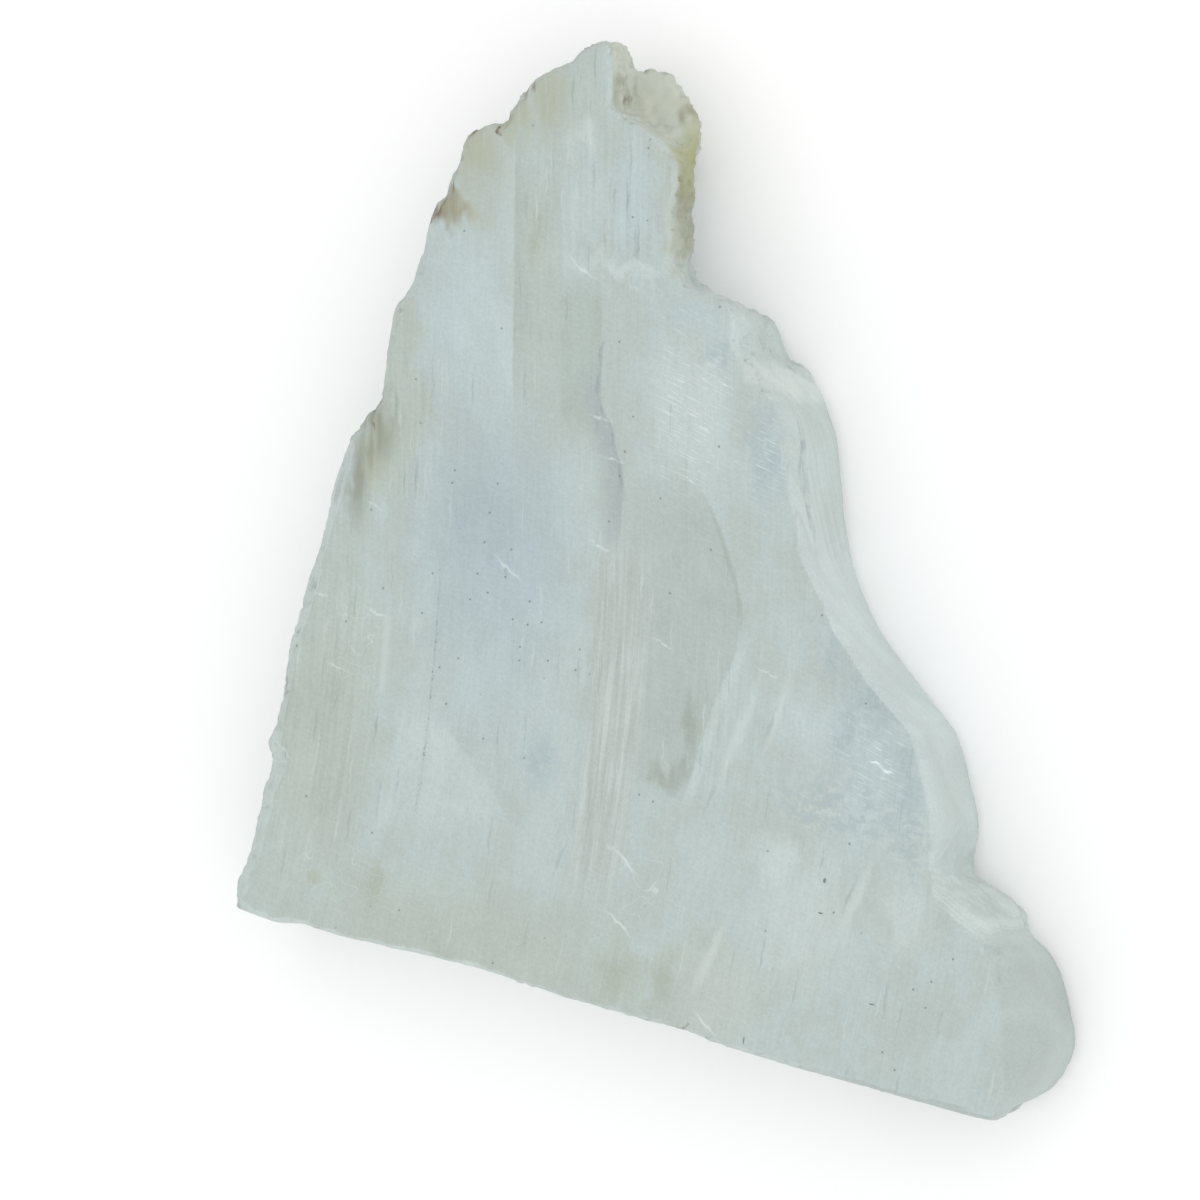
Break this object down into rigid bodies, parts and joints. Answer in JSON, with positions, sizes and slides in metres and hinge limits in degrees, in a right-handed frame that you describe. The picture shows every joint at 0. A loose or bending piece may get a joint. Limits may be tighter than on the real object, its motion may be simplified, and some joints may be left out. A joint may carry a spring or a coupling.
{
  "type": "selenite slab",
  "caption": "Natural crystal slab with flat sawn faces, one straight sawn edge, broken fibrous sides and a splintered tip, lying on its back.",
  "frame": {"origin": "middle of the slab's box, on the sawn back it lies on", "axes": "+X along the sawn lower edge towards the foot, +Y up the fibres to the tip, +Z out of the polished front"},
  "size_m": [0.1212, 0.1322, 0.02],
  "materials": {
    "selenite": "polished flat faces with a soft satin sheen and fine scratches, silky broken sides, milky and a little translucent"
  },
  "bodies": {
    "root": {"selenite_slab": "selenite"}
  },
  "joints": []
}
